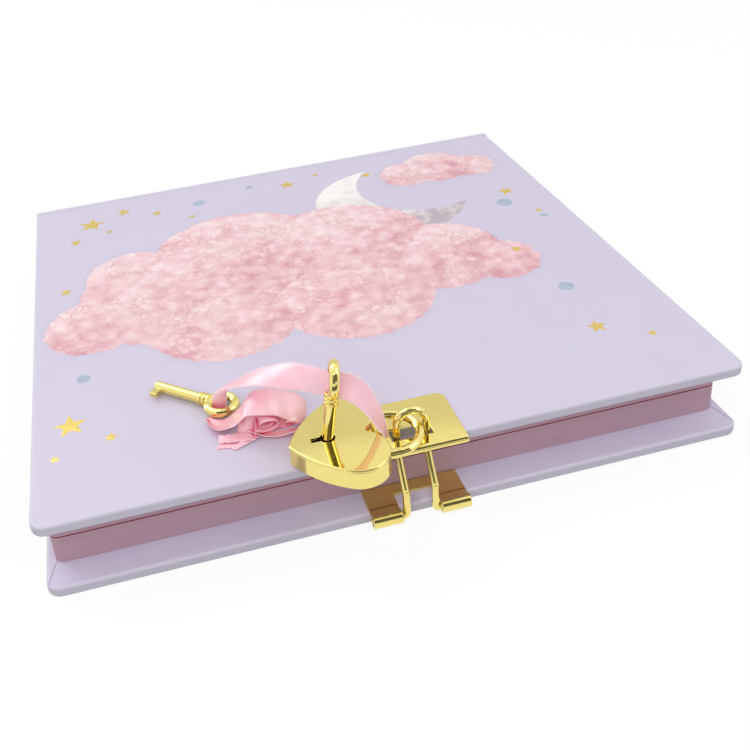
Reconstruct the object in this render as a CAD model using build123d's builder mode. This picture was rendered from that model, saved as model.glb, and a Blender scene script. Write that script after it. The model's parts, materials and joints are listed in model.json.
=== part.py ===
"""Diary with lock: a case-bound book closed by a wire hasp and a heart padlock with two keys on a ribbon.

X runs along the fore edge, -Y faces the reader at the fore edge, +Y is the spine side and +Z is up.
The origin is the middle of the underside of the back cover. Sizes are in millimetres.
"""
import os
from math import cos, hypot, radians, sin, sqrt

from build123d import *

os.makedirs("parts", exist_ok=True)

# Covers and spine
cover_length = 180.0
cover_width = 170.0
board_thickness = 2.5
paper_thickness = 0.25
cover_corner_radius = 3.5
cover_edge_radius = 0.8
board_edge_chamfer = 0.35
spine_edge_radius = 0.2
cut_overrun = 1.0
turn_in_width = 14.0
spine_board_thickness = 2.0
crease_gap = 0.1

# Book block
page_block_thickness = 16.0
fore_setback = 8.0
end_setback = 2.3
page_corner_radius = 2.5
page_gap = 0.35
flyleaf_thickness = 0.3
leaf_clearance = 0.05
lining_thickness = 0.5
lining_clearance = 0.1

# Clasp plates, both pressed from the same sheet
clasp_x = 1.2
plate_width = 25.0
plate_thickness = 0.6
plate_corner_clip = 1.5
upper_plate_reach = 15.5
nose_radius = 1.05
nose_overhang = 1.95
prong_width = 1.6
prong_depth = 1.8
prong_spacing = 17.0
prong_inset = 0.9
knuckle_radius = 1.7
knuckle_bore_radius = 1.15
knuckle_overhang = 2.6
knuckle_lift = 0.9
knuckle_gap = 10.2
lower_plate_gap = 0.3
lower_plate_notch_depth = 4.2
curl_seam = 0.7

# Wire hasp
wire_sides = 12
hasp_wire = 1.9
hasp_leg_spacing = 7.4
hasp_setback = 2.6
hasp_height = 8.0
hasp_kink_rise = 6.9
hasp_clearance = 0.25
hasp_foot_bend = 1.08
hasp_kink_bend = 2.6
slot_length = 10.4
slot_front_room = 0.5
slot_back_room = 2.2

# Padlock
lock_setback = 1.0
lock_gap = 0.1
lock_thickness = 5.8
face_thickness = 0.6
face_edge_chamfer = 0.2
case_wall = 0.8
case_floor = 0.7
case_edge_chamfer = 0.6
heart_length = 22.3
lobe_radius = 7.1
lobe_offset = 6.7
heart_tip_radius = 1.8
heart_side_radius = 30.0
cleft_radius = 0.8
shackle_wire = 2.2
shackle_spacing = 14.0
shackle_clearance = 0.4
shackle_hole_clearance = 0.1
shackle_short_depth = 5.6
shackle_long_depth = 11.5
notch_depth = 0.8
notch_length = 2.2
notch_from_end = 1.4

# Keys
keyhole_from_tip = 9.3
keyhole_clearance = 0.45
keyhole_slot_width = 1.5
key_shaft_radius = 1.4
key_length = 25.5
key_depth = 3.9
key_lean = 9.0
key_rest_turn = 11.0
key_end_chamfer = 0.3
bow_radius = 3.55
bow_wire = 2.4
collar_radius = 1.75
collar_width = 0.7
collar_pitch = 1.15
collar_count = 3
bit_reach = 3.8
bit_width = 1.2
bit_height = 2.0
bit_from_end = 0.5
spare_bow_x = -41.2
spare_bow_setback = 28.0
spare_key_angle = 138.0
spare_key_gap = 0.15

# Latch bolt, a lever on a post of the case, and its leaf spring
bolt_thickness = 1.6
bolt_arm = 1.4
bolt_turn = 6.0
bolt_key_gap = 0.15
bolt_shaft_gap = 0.3
bolt_sweep_gap = 0.2
bolt_notch_gap = 0.1
bolt_floor_gap = 0.6
bolt_pivot_ahead = 0.2
bolt_pivot_reach = 5.8
bolt_eye_radius = 1.55
post_radius = 0.65
post_gap = 0.15
post_rise = 0.3
spring_thickness = 0.3
spring_width = 1.2
spring_span = 2.4
spring_length = 4.0
spring_bend = 0.6
spring_gap = 0.1
lug_width = 4.4
lug_thickness = 0.9

# Ribbon
ribbon_width = 7.0
ribbon_squeezed_width = 3.2
ribbon_thickness = 0.4
ribbon_gap = 0.15
ribbon_roll = 80.0
ribbon_steps = 5
ribbon_sag = 0.35
ribbon_foot_offset = 1.0
ribbon_shoulder_x = 0.55
ribbon_shoulder_drop = 6.4
ribbon_fold_rise = 3.7
bunch_x = -29.9
bunch_setback = 16.5
bunch_half_width = 8.8
bunch_height = 10.0
bunch_split = 0.58
bunch_left_height = 7.0
bunch_right_height = 4.6
strap_swing = 2.0
strap_bend = 2.4
strap_end_offset = 2.2
tail_offset = 1.7
tail_width = 4.0
tail_notch = 1.6
tail_fan = 30.0
tail_length = 6.0
short_tail_length = 4.2

# Places worked out from the sizes above
cover_thickness = board_thickness + 2 * paper_thickness
book_thickness = 2 * cover_thickness + page_block_thickness
fore_y = -cover_width / 2
spine_y = cover_width / 2
hinge_y = spine_y - paper_thickness - spine_board_thickness
panel_back_y = hinge_y - crease_gap
front_cover_z = book_thickness - cover_thickness
page_front_y = fore_y + fore_setback
page_back_y = hinge_y - 2 * lining_clearance - lining_thickness
page_half_length = cover_length / 2 - end_setback
page_split_z = cover_thickness + page_block_thickness / 2
plate_left_x = clasp_x - plate_width / 2
plate_top_z = book_thickness + plate_thickness
hasp_y = fore_y + hasp_setback
hasp_arch_radius = hasp_leg_spacing / 2
pivot_y = fore_y - knuckle_overhang
pivot_z = knuckle_radius + knuckle_lift
lock_y = fore_y + lock_setback
lock_z = plate_top_z + lock_gap
lock_top_z = lock_z + lock_thickness
case_top_z = lock_top_z - face_thickness
shackle_z = lock_z + lock_thickness / 2
shackle_half = shackle_spacing / 2
shackle_apex_x = clasp_x + hasp_arch_radius - hasp_wire / 2 - shackle_clearance - shackle_wire / 2
lobe_end_x = shackle_apex_x - shackle_half - shackle_wire
heart_tip_x = lobe_end_x - heart_length
lobe_x = lobe_end_x - lobe_radius
keyhole_x = heart_tip_x + keyhole_from_tip
spare_bow_y = fore_y + spare_bow_setback
bunch_y = fore_y + bunch_setback


def save(piece, label):
    """Label a finished piece and write it under that name."""
    piece.part.label = label
    export_step(piece.part, f"parts/{label}.step")


def cover_outline(z, inset, corner_radius):
    """Plan of a cover panel at height z, drawn in on its three free sides, with round fore-edge corners."""
    front = fore_y + inset
    with BuildSketch(Plane.XY.offset(z)) as outline:
        with Locations((0, (front + panel_back_y) / 2)):
            Rectangle(cover_length - 2 * inset, panel_back_y - front)
        fillet(outline.vertices().group_by(Axis.Y)[0], corner_radius)
    return outline.sketch


def rim_edges(panel):
    """Upper and lower edges of a cover panel, except along the spine crease."""
    flats = panel.faces().filter_by(Axis.Z)
    crease_y = panel_back_y - cover_edge_radius
    return [edge for face in flats for edge in face.edges() if edge.center().Y < crease_y]


def cut_box(x, y, z):
    """Cut away a box given by its low and high limits on each axis."""
    with Locations(((x[0] + x[1]) / 2, (y[0] + y[1]) / 2, (z[0] + z[1]) / 2)):
        Box(x[1] - x[0], y[1] - y[0], z[1] - z[0], mode=Mode.SUBTRACT)


def add_box(x, y, z):
    """Add a box given by its low and high limits on each axis."""
    with Locations(((x[0] + x[1]) / 2, (y[0] + y[1]) / 2, (z[0] + z[1]) / 2)):
        Box(x[1] - x[0], y[1] - y[0], z[1] - z[0])


def prong_places(y, z_top):
    """Limits of the two prongs that hold a clasp plate in its board."""
    for side in (-1, 1):
        middle = clasp_x + side * prong_spacing / 2
        yield (middle - prong_width / 2, middle + prong_width / 2), (y, y + plate_thickness), (
            z_top - prong_depth, z_top)


upper_prong_y = fore_y + upper_plate_reach - prong_inset - plate_thickness
lower_plate_back_y = page_front_y - lower_plate_gap
lower_prong_y = lower_plate_back_y - prong_inset - plate_thickness
upper_prongs = list(prong_places(upper_prong_y, book_thickness))
lower_prongs = list(prong_places(lower_prong_y, cover_thickness))
slot_x = (clasp_x - slot_length / 2, clasp_x + slot_length / 2)
slot_y = (hasp_y - hasp_wire / 2 - slot_front_room, hasp_y + hasp_wire / 2 + slot_back_room)


# Covers: board, cover paper turned in over it, and the end paper inside
def cover_board(z):
    """Grey board of a cover panel whose underside is at height z."""
    with BuildPart() as board:
        plan = cover_outline(z + paper_thickness, paper_thickness, cover_corner_radius - paper_thickness)
        extrude(plan, amount=board_thickness)
        chamfer(rim_edges(board), board_edge_chamfer)
    return board


def pastedown_sheet(z):
    """End paper between the turned-in edges, with its underside at height z."""
    with BuildPart() as sheet:
        extrude(cover_outline(z, turn_in_width, cover_corner_radius), amount=paper_thickness)
    return sheet


def cover_paper(z, board, pastedown):
    """Cover paper round a board, turned in over its inner face as far as the end paper."""
    with BuildPart() as paper:
        extrude(cover_outline(z, 0, cover_corner_radius), amount=cover_thickness)
        fillet(rim_edges(paper), cover_edge_radius)
        add(board.part, mode=Mode.SUBTRACT)
        add(pastedown.part, mode=Mode.SUBTRACT)
    return paper


front_core = cover_board(front_cover_z)
front_pastedown = pastedown_sheet(front_cover_z)
front_paper = cover_paper(front_cover_z, front_core, front_pastedown)
through_front = (front_cover_z - cut_overrun, book_thickness + cut_overrun)

with BuildPart() as front_board:
    add(front_core.part)
    cut_box(slot_x, slot_y, through_front)
    for prong in upper_prongs:
        cut_box(*prong)

with BuildPart() as front_cover_wrap:
    add(front_paper.part)
    cut_box(slot_x, slot_y, through_front)
    for prong in upper_prongs:
        cut_box(*prong)

save(front_board, "front_board")
save(front_cover_wrap, "front_cover_wrap")
save(front_pastedown, "front_pastedown")

# Back cover
back_core = cover_board(0)
back_pastedown = pastedown_sheet(cover_thickness - paper_thickness)
back_paper = cover_paper(0, back_core, back_pastedown)

with BuildPart() as back_board:
    add(back_core.part)
    for prong in lower_prongs:
        cut_box(*prong)

with BuildPart() as back_cover_wrap:
    add(back_paper.part)
    for prong in lower_prongs:
        cut_box(*prong)

save(back_board, "back_board")
save(back_cover_wrap, "back_cover_wrap")
save(back_pastedown, "back_pastedown")

# Spine: a strip of board inside the cover paper
with BuildPart() as spine_board:
    half = cover_length / 2 - paper_thickness
    add_box(
        (-half, half),
        (hinge_y, spine_y - paper_thickness),
        (paper_thickness, book_thickness - paper_thickness),
    )

with BuildPart() as spine_wrap:
    add_box((-cover_length / 2, cover_length / 2), (hinge_y, spine_y), (0, book_thickness))
    fillet(spine_wrap.edges().filter_by(Axis.X).group_by(Axis.Y)[-1], spine_edge_radius)
    add(spine_board.part, mode=Mode.SUBTRACT)

save(spine_board, "spine_board")
save(spine_wrap, "spine_wrap")


# Book block: two halves of leaves with a gap between them, a fly leaf and the lining of the back
def leaves(z_low, z_high):
    """A stack of leaves with round fore-edge corners."""
    with BuildPart() as stack:
        with BuildSketch(Plane.XY.offset(z_low)) as plan:
            with Locations((0, (page_front_y + page_back_y) / 2)):
                Rectangle(2 * page_half_length, page_back_y - page_front_y)
            fillet(plan.vertices().group_by(Axis.Y)[0], page_corner_radius)
        extrude(amount=z_high - z_low)
    return stack


flyleaf_top_z = front_cover_z - leaf_clearance
flyleaf_low_z = flyleaf_top_z - flyleaf_thickness
lower_page_half = leaves(cover_thickness, page_split_z - page_gap / 2)
upper_page_half = leaves(page_split_z + page_gap / 2, flyleaf_low_z - leaf_clearance)
front_flyleaf = leaves(flyleaf_low_z, flyleaf_top_z)

with BuildPart() as spine_lining:
    lining_y = page_back_y + lining_clearance
    add_box(
        (-page_half_length, page_half_length),
        (lining_y, lining_y + lining_thickness),
        (cover_thickness, front_cover_z - leaf_clearance),
    )

save(lower_page_half, "lower_page_half")
save(upper_page_half, "upper_page_half")
save(front_flyleaf, "front_flyleaf")
save(spine_lining, "spine_lining")


# Clasp plates: flat sheet whose front edge is rolled
def curl(y, z, outer_radius, inner_radius):
    """Section of a rolled edge about a point of the YZ plane, open towards the cover."""
    with Locations((y, z)):
        Circle(outer_radius)
        Circle(inner_radius, mode=Mode.SUBTRACT)
    with Locations((y + (outer_radius + inner_radius) / 2, z)):
        Rectangle(outer_radius, curl_seam, mode=Mode.SUBTRACT)


def sheet_section(y_low, y_high, z_low):
    """Section of the flat sheet of a clasp plate."""
    with Locations(((y_low + y_high) / 2, z_low + plate_thickness / 2)):
        Rectangle(y_high - y_low, plate_thickness)


nose_y = fore_y - nose_overhang
with BuildPart() as upper_clasp_plate:
    with BuildSketch(Plane.YZ.offset(plate_left_x)):
        curl(nose_y, plate_top_z - nose_radius, nose_radius, nose_radius - plate_thickness)
        sheet_section(nose_y, fore_y + upper_plate_reach, book_thickness)
    extrude(amount=plate_width)
    back_corners = upper_clasp_plate.edges().filter_by(Axis.Z).group_by(Axis.Y)[-1]
    chamfer(back_corners, plate_corner_clip)
    cut_box(slot_x, slot_y, through_front)
    for prong in upper_prongs:
        add_box(*prong)

sheet_top_from_pivot = cover_thickness + plate_thickness - pivot_z
knuckle_join_y = pivot_y + sqrt(knuckle_radius**2 - sheet_top_from_pivot**2)
curl_open_z = cover_thickness - curl_seam / 2
with BuildPart() as lower_clasp_plate:
    with BuildSketch(Plane.YZ.offset(plate_left_x)):
        with Locations((pivot_y, pivot_z)):
            Circle(knuckle_radius)
            Circle(knuckle_bore_radius, mode=Mode.SUBTRACT)
        with Locations((pivot_y + knuckle_radius, curl_open_z)):
            Rectangle(knuckle_radius, curl_seam, mode=Mode.SUBTRACT)
        sheet_section(knuckle_join_y, lower_plate_back_y, cover_thickness)
    extrude(amount=plate_width)
    cut_box(
        (clasp_x - knuckle_gap / 2, clasp_x + knuckle_gap / 2),
        (pivot_y - knuckle_radius - cut_overrun, fore_y + lower_plate_notch_depth),
        (0, cover_thickness + knuckle_radius),
    )
    for prong in lower_prongs:
        add_box(*prong)

save(upper_clasp_plate, "upper_clasp_plate")
save(lower_clasp_plate, "lower_clasp_plate")

# Wire hasp: up from the knuckles, back under the cover and through the slot in a round arch
foot_x = knuckle_gap / 2 - hasp_clearance
arch_z = plate_top_z + hasp_height - hasp_wire / 2 - hasp_arch_radius
kink_z = pivot_z + hasp_kink_rise
under_cover_z = front_cover_z - hasp_wire / 2
with BuildPart() as hasp_loop:
    with BuildLine() as wire:
        for side in (-1, 1):
            leg_x = clasp_x + side * hasp_arch_radius
            FilletPolyline(
                (clasp_x + side * foot_x, pivot_y, pivot_z),
                (leg_x, pivot_y, pivot_z),
                (leg_x, pivot_y, kink_z),
                (leg_x, hasp_y, under_cover_z),
                (leg_x, hasp_y, arch_z),
                radius=[hasp_foot_bend, hasp_kink_bend, hasp_kink_bend],
            )
        ThreePointArc(
            (clasp_x - hasp_arch_radius, hasp_y, arch_z),
            (clasp_x, hasp_y, arch_z + hasp_arch_radius),
            (clasp_x + hasp_arch_radius, hasp_y, arch_z),
        )
    foot_end = Plane(origin=(clasp_x - foot_x, pivot_y, pivot_z), z_dir=(1, 0, 0))
    with BuildSketch(foot_end):
        RegularPolygon(hasp_wire / 2, wire_sides)
    sweep(path=wire.wires()[0])

with BuildPart() as hasp_pivot_ends:
    for side in (-1, 1):
        near = knuckle_gap / 2
        far = plate_width / 2 - hasp_clearance
        with BuildSketch(Plane.YZ.offset(clasp_x + side * near)):
            with Locations((pivot_y, pivot_z)):
                Circle(hasp_wire / 2)
        extrude(amount=side * (far - near))

save(hasp_loop, "hasp_loop")
save(hasp_pivot_ends, "hasp_pivot_ends")


# Heart padlock: a cup closed by a face plate, with the shackle through its two lobes
def meet(first, first_reach, second, second_reach):
    """Point at given distances from two points, on the side nearer the heart's middle line."""
    span = hypot(second[0] - first[0], second[1] - first[1])
    along = (span**2 + first_reach**2 - second_reach**2) / (2 * span)
    aside = sqrt(first_reach**2 - along**2)
    ux, uy = (second[0] - first[0]) / span, (second[1] - first[1]) / span
    return first[0] + along * ux - aside * uy, first[1] + along * uy + aside * ux


def on_circle(centre, radius, away_from):
    """Point of a circle on the side away from another point."""
    span = hypot(centre[0] - away_from[0], centre[1] - away_from[1])
    scale = radius / span
    return centre[0] + (centre[0] - away_from[0]) * scale, centre[1] + (centre[1] - away_from[1]) * scale


def mirrored(point):
    """The point on the other side of the heart's middle line."""
    return point[0], -point[1]


heart_cleft = (lobe_x + sqrt(lobe_radius**2 - lobe_offset**2), 0)


def heart_outline(z, inset):
    """Heart in plan at height z, drawn in all round by an inset: lobe arcs, bowed sides and a round tip."""
    lobe = (lobe_x, -lobe_offset)
    tip = (heart_tip_x + heart_tip_radius, 0)
    bow_centre = meet(tip, heart_side_radius - heart_tip_radius, lobe, heart_side_radius - lobe_radius)
    lobe_join = on_circle(lobe, lobe_radius, bow_centre)
    tip_join = on_circle(tip, heart_tip_radius, bow_centre)
    chord_middle = ((lobe_join[0] + tip_join[0]) / 2, (lobe_join[1] + tip_join[1]) / 2)
    behind = (2 * bow_centre[0] - chord_middle[0], 2 * bow_centre[1] - chord_middle[1])
    side_middle = on_circle(bow_centre, heart_side_radius, behind)
    lobe_far = on_circle(lobe, lobe_radius, (heart_tip_x, 0))
    with BuildSketch(Plane((0, lock_y, z))) as heart:
        with BuildLine():
            ThreePointArc(heart_cleft, lobe_far, lobe_join)
            ThreePointArc(lobe_join, side_middle, tip_join)
            ThreePointArc(tip_join, (heart_tip_x, 0), mirrored(tip_join))
            ThreePointArc(mirrored(tip_join), mirrored(side_middle), mirrored(lobe_join))
            ThreePointArc(mirrored(lobe_join), mirrored(lobe_far), heart_cleft)
        make_face()
        fillet(heart.vertices().sort_by_distance((*heart_cleft, 0))[0], cleft_radius)
        if inset:
            offset(amount=-inset, mode=Mode.REPLACE)
    return heart.sketch


def shackle_holes():
    """Bores in the lobes where the shackle's legs enter the case."""
    for side in (-1, 1):
        with Locations(Plane(origin=(lobe_x, lock_y + side * shackle_half, shackle_z), z_dir=(1, 0, 0))):
            Cylinder(
                shackle_wire / 2 + shackle_hole_clearance, 2 * lobe_radius,
                align=(Align.CENTER, Align.CENTER, Align.MIN), mode=Mode.SUBTRACT)


# The key's axis crosses the bolt a little towards the tip, because the key leans
lean = radians(key_lean)
bolt_z = lock_z + case_floor + bolt_floor_gap
key_at_bolt_x = keyhole_x - sin(lean) / cos(lean) * (case_top_z - bolt_z - bolt_thickness / 2)

# The bolt turns about its post, and its foot swings towards the key while the bit presses it down
bolt_pivot_x = key_at_bolt_x + bolt_pivot_ahead
bolt_pivot_y = lock_y + bolt_pivot_reach
swing_share = sin(radians(bolt_turn))
foot_swing = (bolt_pivot_reach + bit_width) * swing_share
bolt_foot_x = key_at_bolt_x + key_shaft_radius + bolt_shaft_gap + foot_swing
stem_x = key_at_bolt_x + hypot(bit_reach, bit_width / 2) + bolt_sweep_gap + foot_swing
foot_drop = (bolt_foot_x - bolt_pivot_x) * swing_share
foot_top_y = lock_y - bit_width / 2 - bolt_key_gap + foot_drop
foot_low_y = foot_top_y - bolt_arm
spring_x = stem_x + bolt_arm - spring_length / 2
lug_y = foot_low_y - 2 * spring_gap - spring_span

with BuildPart() as padlock_case:
    extrude(heart_outline(lock_z, 0), amount=case_top_z - lock_z)
    chamfer(padlock_case.faces().sort_by(Axis.Z)[0].edges(), case_edge_chamfer)
    extrude(heart_outline(lock_z + case_floor, case_wall), amount=lock_thickness, mode=Mode.SUBTRACT)
    shackle_holes()
    add_box(
        (spring_x - lug_width / 2, spring_x + lug_width / 2),
        (lug_y - lug_thickness, lug_y),
        (lock_z + case_floor, bolt_z + bolt_thickness),
    )
    with Locations((bolt_pivot_x, bolt_pivot_y, lock_z + case_floor)):
        post_height = bolt_floor_gap + bolt_thickness + post_rise
        Cylinder(post_radius, post_height, align=(Align.CENTER, Align.CENTER, Align.MIN))

with BuildPart() as padlock_face:
    extrude(heart_outline(case_top_z, 0), amount=face_thickness)
    chamfer(padlock_face.faces().sort_by(Axis.Z)[-1].edges(), face_edge_chamfer)
    with BuildSketch(Plane((keyhole_x, lock_y, case_top_z))):
        Circle(key_shaft_radius + keyhole_clearance)
        with Locations((-bit_reach / 2, 0)):
            Rectangle(bit_reach + keyhole_clearance, keyhole_slot_width)
    extrude(amount=face_thickness, mode=Mode.SUBTRACT)

short_end_x = lobe_end_x - shackle_short_depth
long_end_x = lobe_end_x - shackle_long_depth
bend_x = shackle_apex_x - shackle_half
notch_x = (short_end_x + notch_from_end, short_end_x + notch_from_end + notch_length)
notch_y = lock_y + shackle_half - shackle_wire / 2 + notch_depth
with BuildPart() as shackle:
    with BuildLine() as bar:
        Line((short_end_x, lock_y + shackle_half, shackle_z), (bend_x, lock_y + shackle_half, shackle_z))
        ThreePointArc(
            (bend_x, lock_y + shackle_half, shackle_z),
            (shackle_apex_x, lock_y, shackle_z),
            (bend_x, lock_y - shackle_half, shackle_z),
        )
        Line((bend_x, lock_y - shackle_half, shackle_z), (long_end_x, lock_y - shackle_half, shackle_z))
    with BuildSketch(Plane(origin=(short_end_x, lock_y + shackle_half, shackle_z), z_dir=(1, 0, 0))):
        RegularPolygon(shackle_wire / 2, wire_sides)
    sweep(path=bar.wires()[0])
    cut_box(notch_x, (notch_y - shackle_wire, notch_y), (lock_z, lock_top_z))

save(padlock_case, "padlock_case")
save(padlock_face, "padlock_face")
save(shackle, "shackle")

# Latch bolt: an eye on the post, a nose in the shackle's notch and a foot in the way of the key's bit
bolt_height = (bolt_z, bolt_z + bolt_thickness)
nose_low_x = notch_x[0] + bolt_notch_gap
nose_high_x = notch_x[1] - bolt_notch_gap
head_y = lock_y + shackle_half - shackle_wire / 2 - bolt_notch_gap
with BuildPart() as latch_bolt:
    add_box((bolt_pivot_x, nose_high_x), (head_y - bolt_arm, head_y), bolt_height)
    add_box((nose_low_x, nose_high_x), (head_y - bolt_arm, notch_y - bolt_notch_gap), bolt_height)
    add_box((stem_x, stem_x + bolt_arm), (foot_low_y, head_y), bolt_height)
    add_box((bolt_foot_x, stem_x + bolt_arm), (foot_low_y, foot_top_y), bolt_height)
    with Locations((bolt_pivot_x, bolt_pivot_y, bolt_z)):
        Cylinder(bolt_eye_radius, bolt_thickness, align=(Align.CENTER, Align.CENTER, Align.MIN))
        Cylinder(
            post_radius + post_gap,
            bolt_thickness,
            align=(Align.CENTER, Align.CENTER, Align.MIN),
            mode=Mode.SUBTRACT,
        )

# Leaf spring folded between the bolt's foot and the lug of the case
with BuildPart() as latch_spring:
    with BuildSketch(Plane.XY.offset(bolt_z + (bolt_thickness - spring_width) / 2)):
        with BuildLine():
            spring_top_y = foot_low_y - spring_gap - spring_thickness / 2
            spring_low_y = lug_y + spring_gap + spring_thickness / 2
            FilletPolyline(
                (spring_x + spring_length / 2, spring_top_y),
                (spring_x - spring_length / 2, (spring_top_y + spring_low_y) / 2),
                (spring_x + spring_length / 2, spring_low_y),
                radius=spring_bend,
            )
        trace(line_width=spring_thickness)
    extrude(amount=spring_width)

save(latch_bolt, "latch_bolt")
save(latch_spring, "latch_spring")

# Keys: a round shaft with a bit, three turned collars and a ring bow in the plane of the bit
bow_height = key_length - key_depth - bow_radius - bow_wire / 2


def make_key(seat):
    """A key along a plane's normal, with key_depth below its origin and the bit along the plane's X."""
    shaft_top = bow_height - bow_radius
    bow_middle = seat.offset(bow_height).origin
    with BuildPart() as key:
        with BuildSketch(Plane(origin=bow_middle, x_dir=seat.x_dir, z_dir=seat.z_dir)):
            with Locations((bow_radius, 0)):
                RegularPolygon(bow_wire / 2, wire_sides)
        revolve(axis=Axis(bow_middle, seat.y_dir))
        for ring in range(collar_count):
            with BuildSketch(seat.offset(shaft_top - collar_width - ring * collar_pitch)):
                Circle(collar_radius)
            extrude(amount=collar_width)
        with BuildSketch(seat.offset(-key_depth)):
            Circle(key_shaft_radius)
        extrude(amount=key_depth + shaft_top)
        chamfer(key.faces().sort_by_distance(seat.offset(-key_depth).origin)[0].edges(), key_end_chamfer)
        with BuildSketch(seat.offset(bit_from_end - key_depth)):
            with Locations((bit_reach / 2, 0)):
                Rectangle(bit_reach, bit_width)
        extrude(amount=bit_height)
    return key


rest_turn = radians(key_rest_turn)
bit_direction = (sin(rest_turn) * cos(lean), cos(rest_turn), -sin(rest_turn) * sin(lean))
lock_key_seat = Plane(
    origin=(keyhole_x, lock_y, case_top_z), x_dir=bit_direction, z_dir=(sin(lean), 0, cos(lean))
)
lock_key = make_key(lock_key_seat)

spare_axis_z = book_thickness + max(collar_radius, bow_wire / 2) + spare_key_gap
spare_along = (cos(radians(spare_key_angle)), sin(radians(spare_key_angle)))
spare_seat = Plane(
    origin=(
        spare_bow_x + bow_height * spare_along[0],
        spare_bow_y + bow_height * spare_along[1],
        spare_axis_z,
    ),
    x_dir=(-spare_along[1], spare_along[0], 0),
    z_dir=(-spare_along[0], -spare_along[1], 0),
)
spare_key = make_key(spare_seat)

save(lock_key, "lock_key")
save(spare_key, "spare_key")

# Ribbon: from beside the hasp up to the standing bow, then over and down into the flat bow
bow_x = keyhole_x + bow_height * sin(lean)
ribbon_top = Vector(bow_x, lock_y, case_top_z + bow_height * cos(lean) - ribbon_sag)
ribbon_foot = Vector(lobe_end_x + ribbon_foot_offset, lock_y, plate_top_z + ribbon_gap)
ribbon_shoulder = Vector(lobe_end_x + ribbon_shoulder_x, lock_y, ribbon_top.Z - ribbon_shoulder_drop)
bunch_base_z = book_thickness + ribbon_gap
strip_low = Vector(spare_bow_x, spare_bow_y, bunch_base_z + ribbon_thickness + ribbon_gap)
ribbon_fold = Vector(spare_bow_x, spare_bow_y, spare_axis_z + ribbon_fold_rise)
ribbon_crown = Vector((bow_x + spare_bow_x) / 2, (lock_y + spare_bow_y) / 2, ribbon_top.Z)
left_flat = Vector(spare_bow_x - bow_x, spare_bow_y - lock_y, 0)
left_level = left_flat.normalized().cross(Vector(0, 0, 1))
right_level = Vector(0, 1, 0)


def ribbon_section(place, heading, level, roll, width):
    """Cross-section of the ribbon square to its heading, with its width rolled up from level by an angle."""
    ahead = heading.normalized()
    across = level * cos(radians(roll)) + level.cross(ahead) * sin(radians(roll))
    with BuildSketch(Plane(origin=place, x_dir=across, z_dir=ahead)) as section:
        Rectangle(width, ribbon_thickness)
    return section.sketch


def ribbon_stretch(start, middle, end, level, share, from_bow):
    """Section of a stretch along a parabola, gathered at its ends and rolled up near the standing bow."""
    place = start * (1 - share) ** 2 + middle * (2 * share * (1 - share)) + end * share**2
    heading = (middle - start) * (1 - share) + (end - middle) * share
    width = ribbon_squeezed_width + (ribbon_width - ribbon_squeezed_width) * sin(radians(180 * share))
    return ribbon_section(place, heading, level, ribbon_roll * (1 - from_bow**2), width)


sections = []
for step in range(ribbon_steps):
    share = step / ribbon_steps
    sections.append(ribbon_stretch(ribbon_foot, ribbon_shoulder, ribbon_top, right_level, share, 1 - share))
through_bow = left_flat.normalized() + Vector(-1, 0, 0)
through_level = (left_level + right_level).normalized()
sections.append(ribbon_section(ribbon_top, through_bow, through_level, ribbon_roll, ribbon_squeezed_width))
for step in range(1, ribbon_steps):
    share = step / ribbon_steps
    sections.append(ribbon_stretch(ribbon_top, ribbon_crown, ribbon_fold, left_level, share, share))
fold_heading = (ribbon_fold - ribbon_crown).normalized() + Vector(0, 0, -1)
sections.append(ribbon_section(ribbon_fold, fold_heading, left_level, 0, ribbon_squeezed_width))
sections.append(ribbon_section(strip_low, Vector(0, 0, -1), left_level, 0, ribbon_squeezed_width))

with BuildPart() as ribbon_band:
    loft(sections, ruled=True)

# The gathered middle of the ribbon: a broad loop with two smaller ones inside, and a strap from the flat bow
bunch_split_x = bunch_half_width * (2 * bunch_split - 1)
inner_reach = bunch_half_width - ribbon_thickness / 2
left_radius = (bunch_split_x + ribbon_thickness / 2 + inner_reach) / 2
right_radius = (inner_reach - bunch_split_x + ribbon_thickness / 2) / 2
bunch_loops = (
    (0, bunch_half_width, bunch_height),
    (left_radius - inner_reach, left_radius, bunch_left_height),
    (inner_reach - right_radius, right_radius, bunch_right_height),
)
with BuildPart() as ribbon_bunch:
    for loop_x, loop_radius, loop_height in bunch_loops:
        loop_middle = (bunch_x + loop_x, bunch_y, bunch_base_z)
        with BuildSketch(Plane(origin=loop_middle, x_dir=(1, 0, 0), z_dir=(0, -1, 0))):
            Ellipse(loop_radius, loop_height)
            Ellipse(loop_radius - ribbon_thickness, loop_height - ribbon_thickness, mode=Mode.SUBTRACT)
            with Locations((0, -loop_height / 2)):
                Rectangle(2 * loop_radius, loop_height, mode=Mode.SUBTRACT)
        extrude(amount=ribbon_width / 2, both=True)
    strap_end_y = bunch_y + strap_end_offset
    with BuildSketch(Plane.XY.offset(bunch_base_z)):
        with BuildLine():
            FilletPolyline(
                (spare_bow_x, spare_bow_y),
                (spare_bow_x - strap_swing, strap_end_y),
                (bunch_x - inner_reach, strap_end_y),
                radius=strap_bend,
            )
        trace(line_width=ribbon_squeezed_width)
    extrude(amount=ribbon_thickness)

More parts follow.
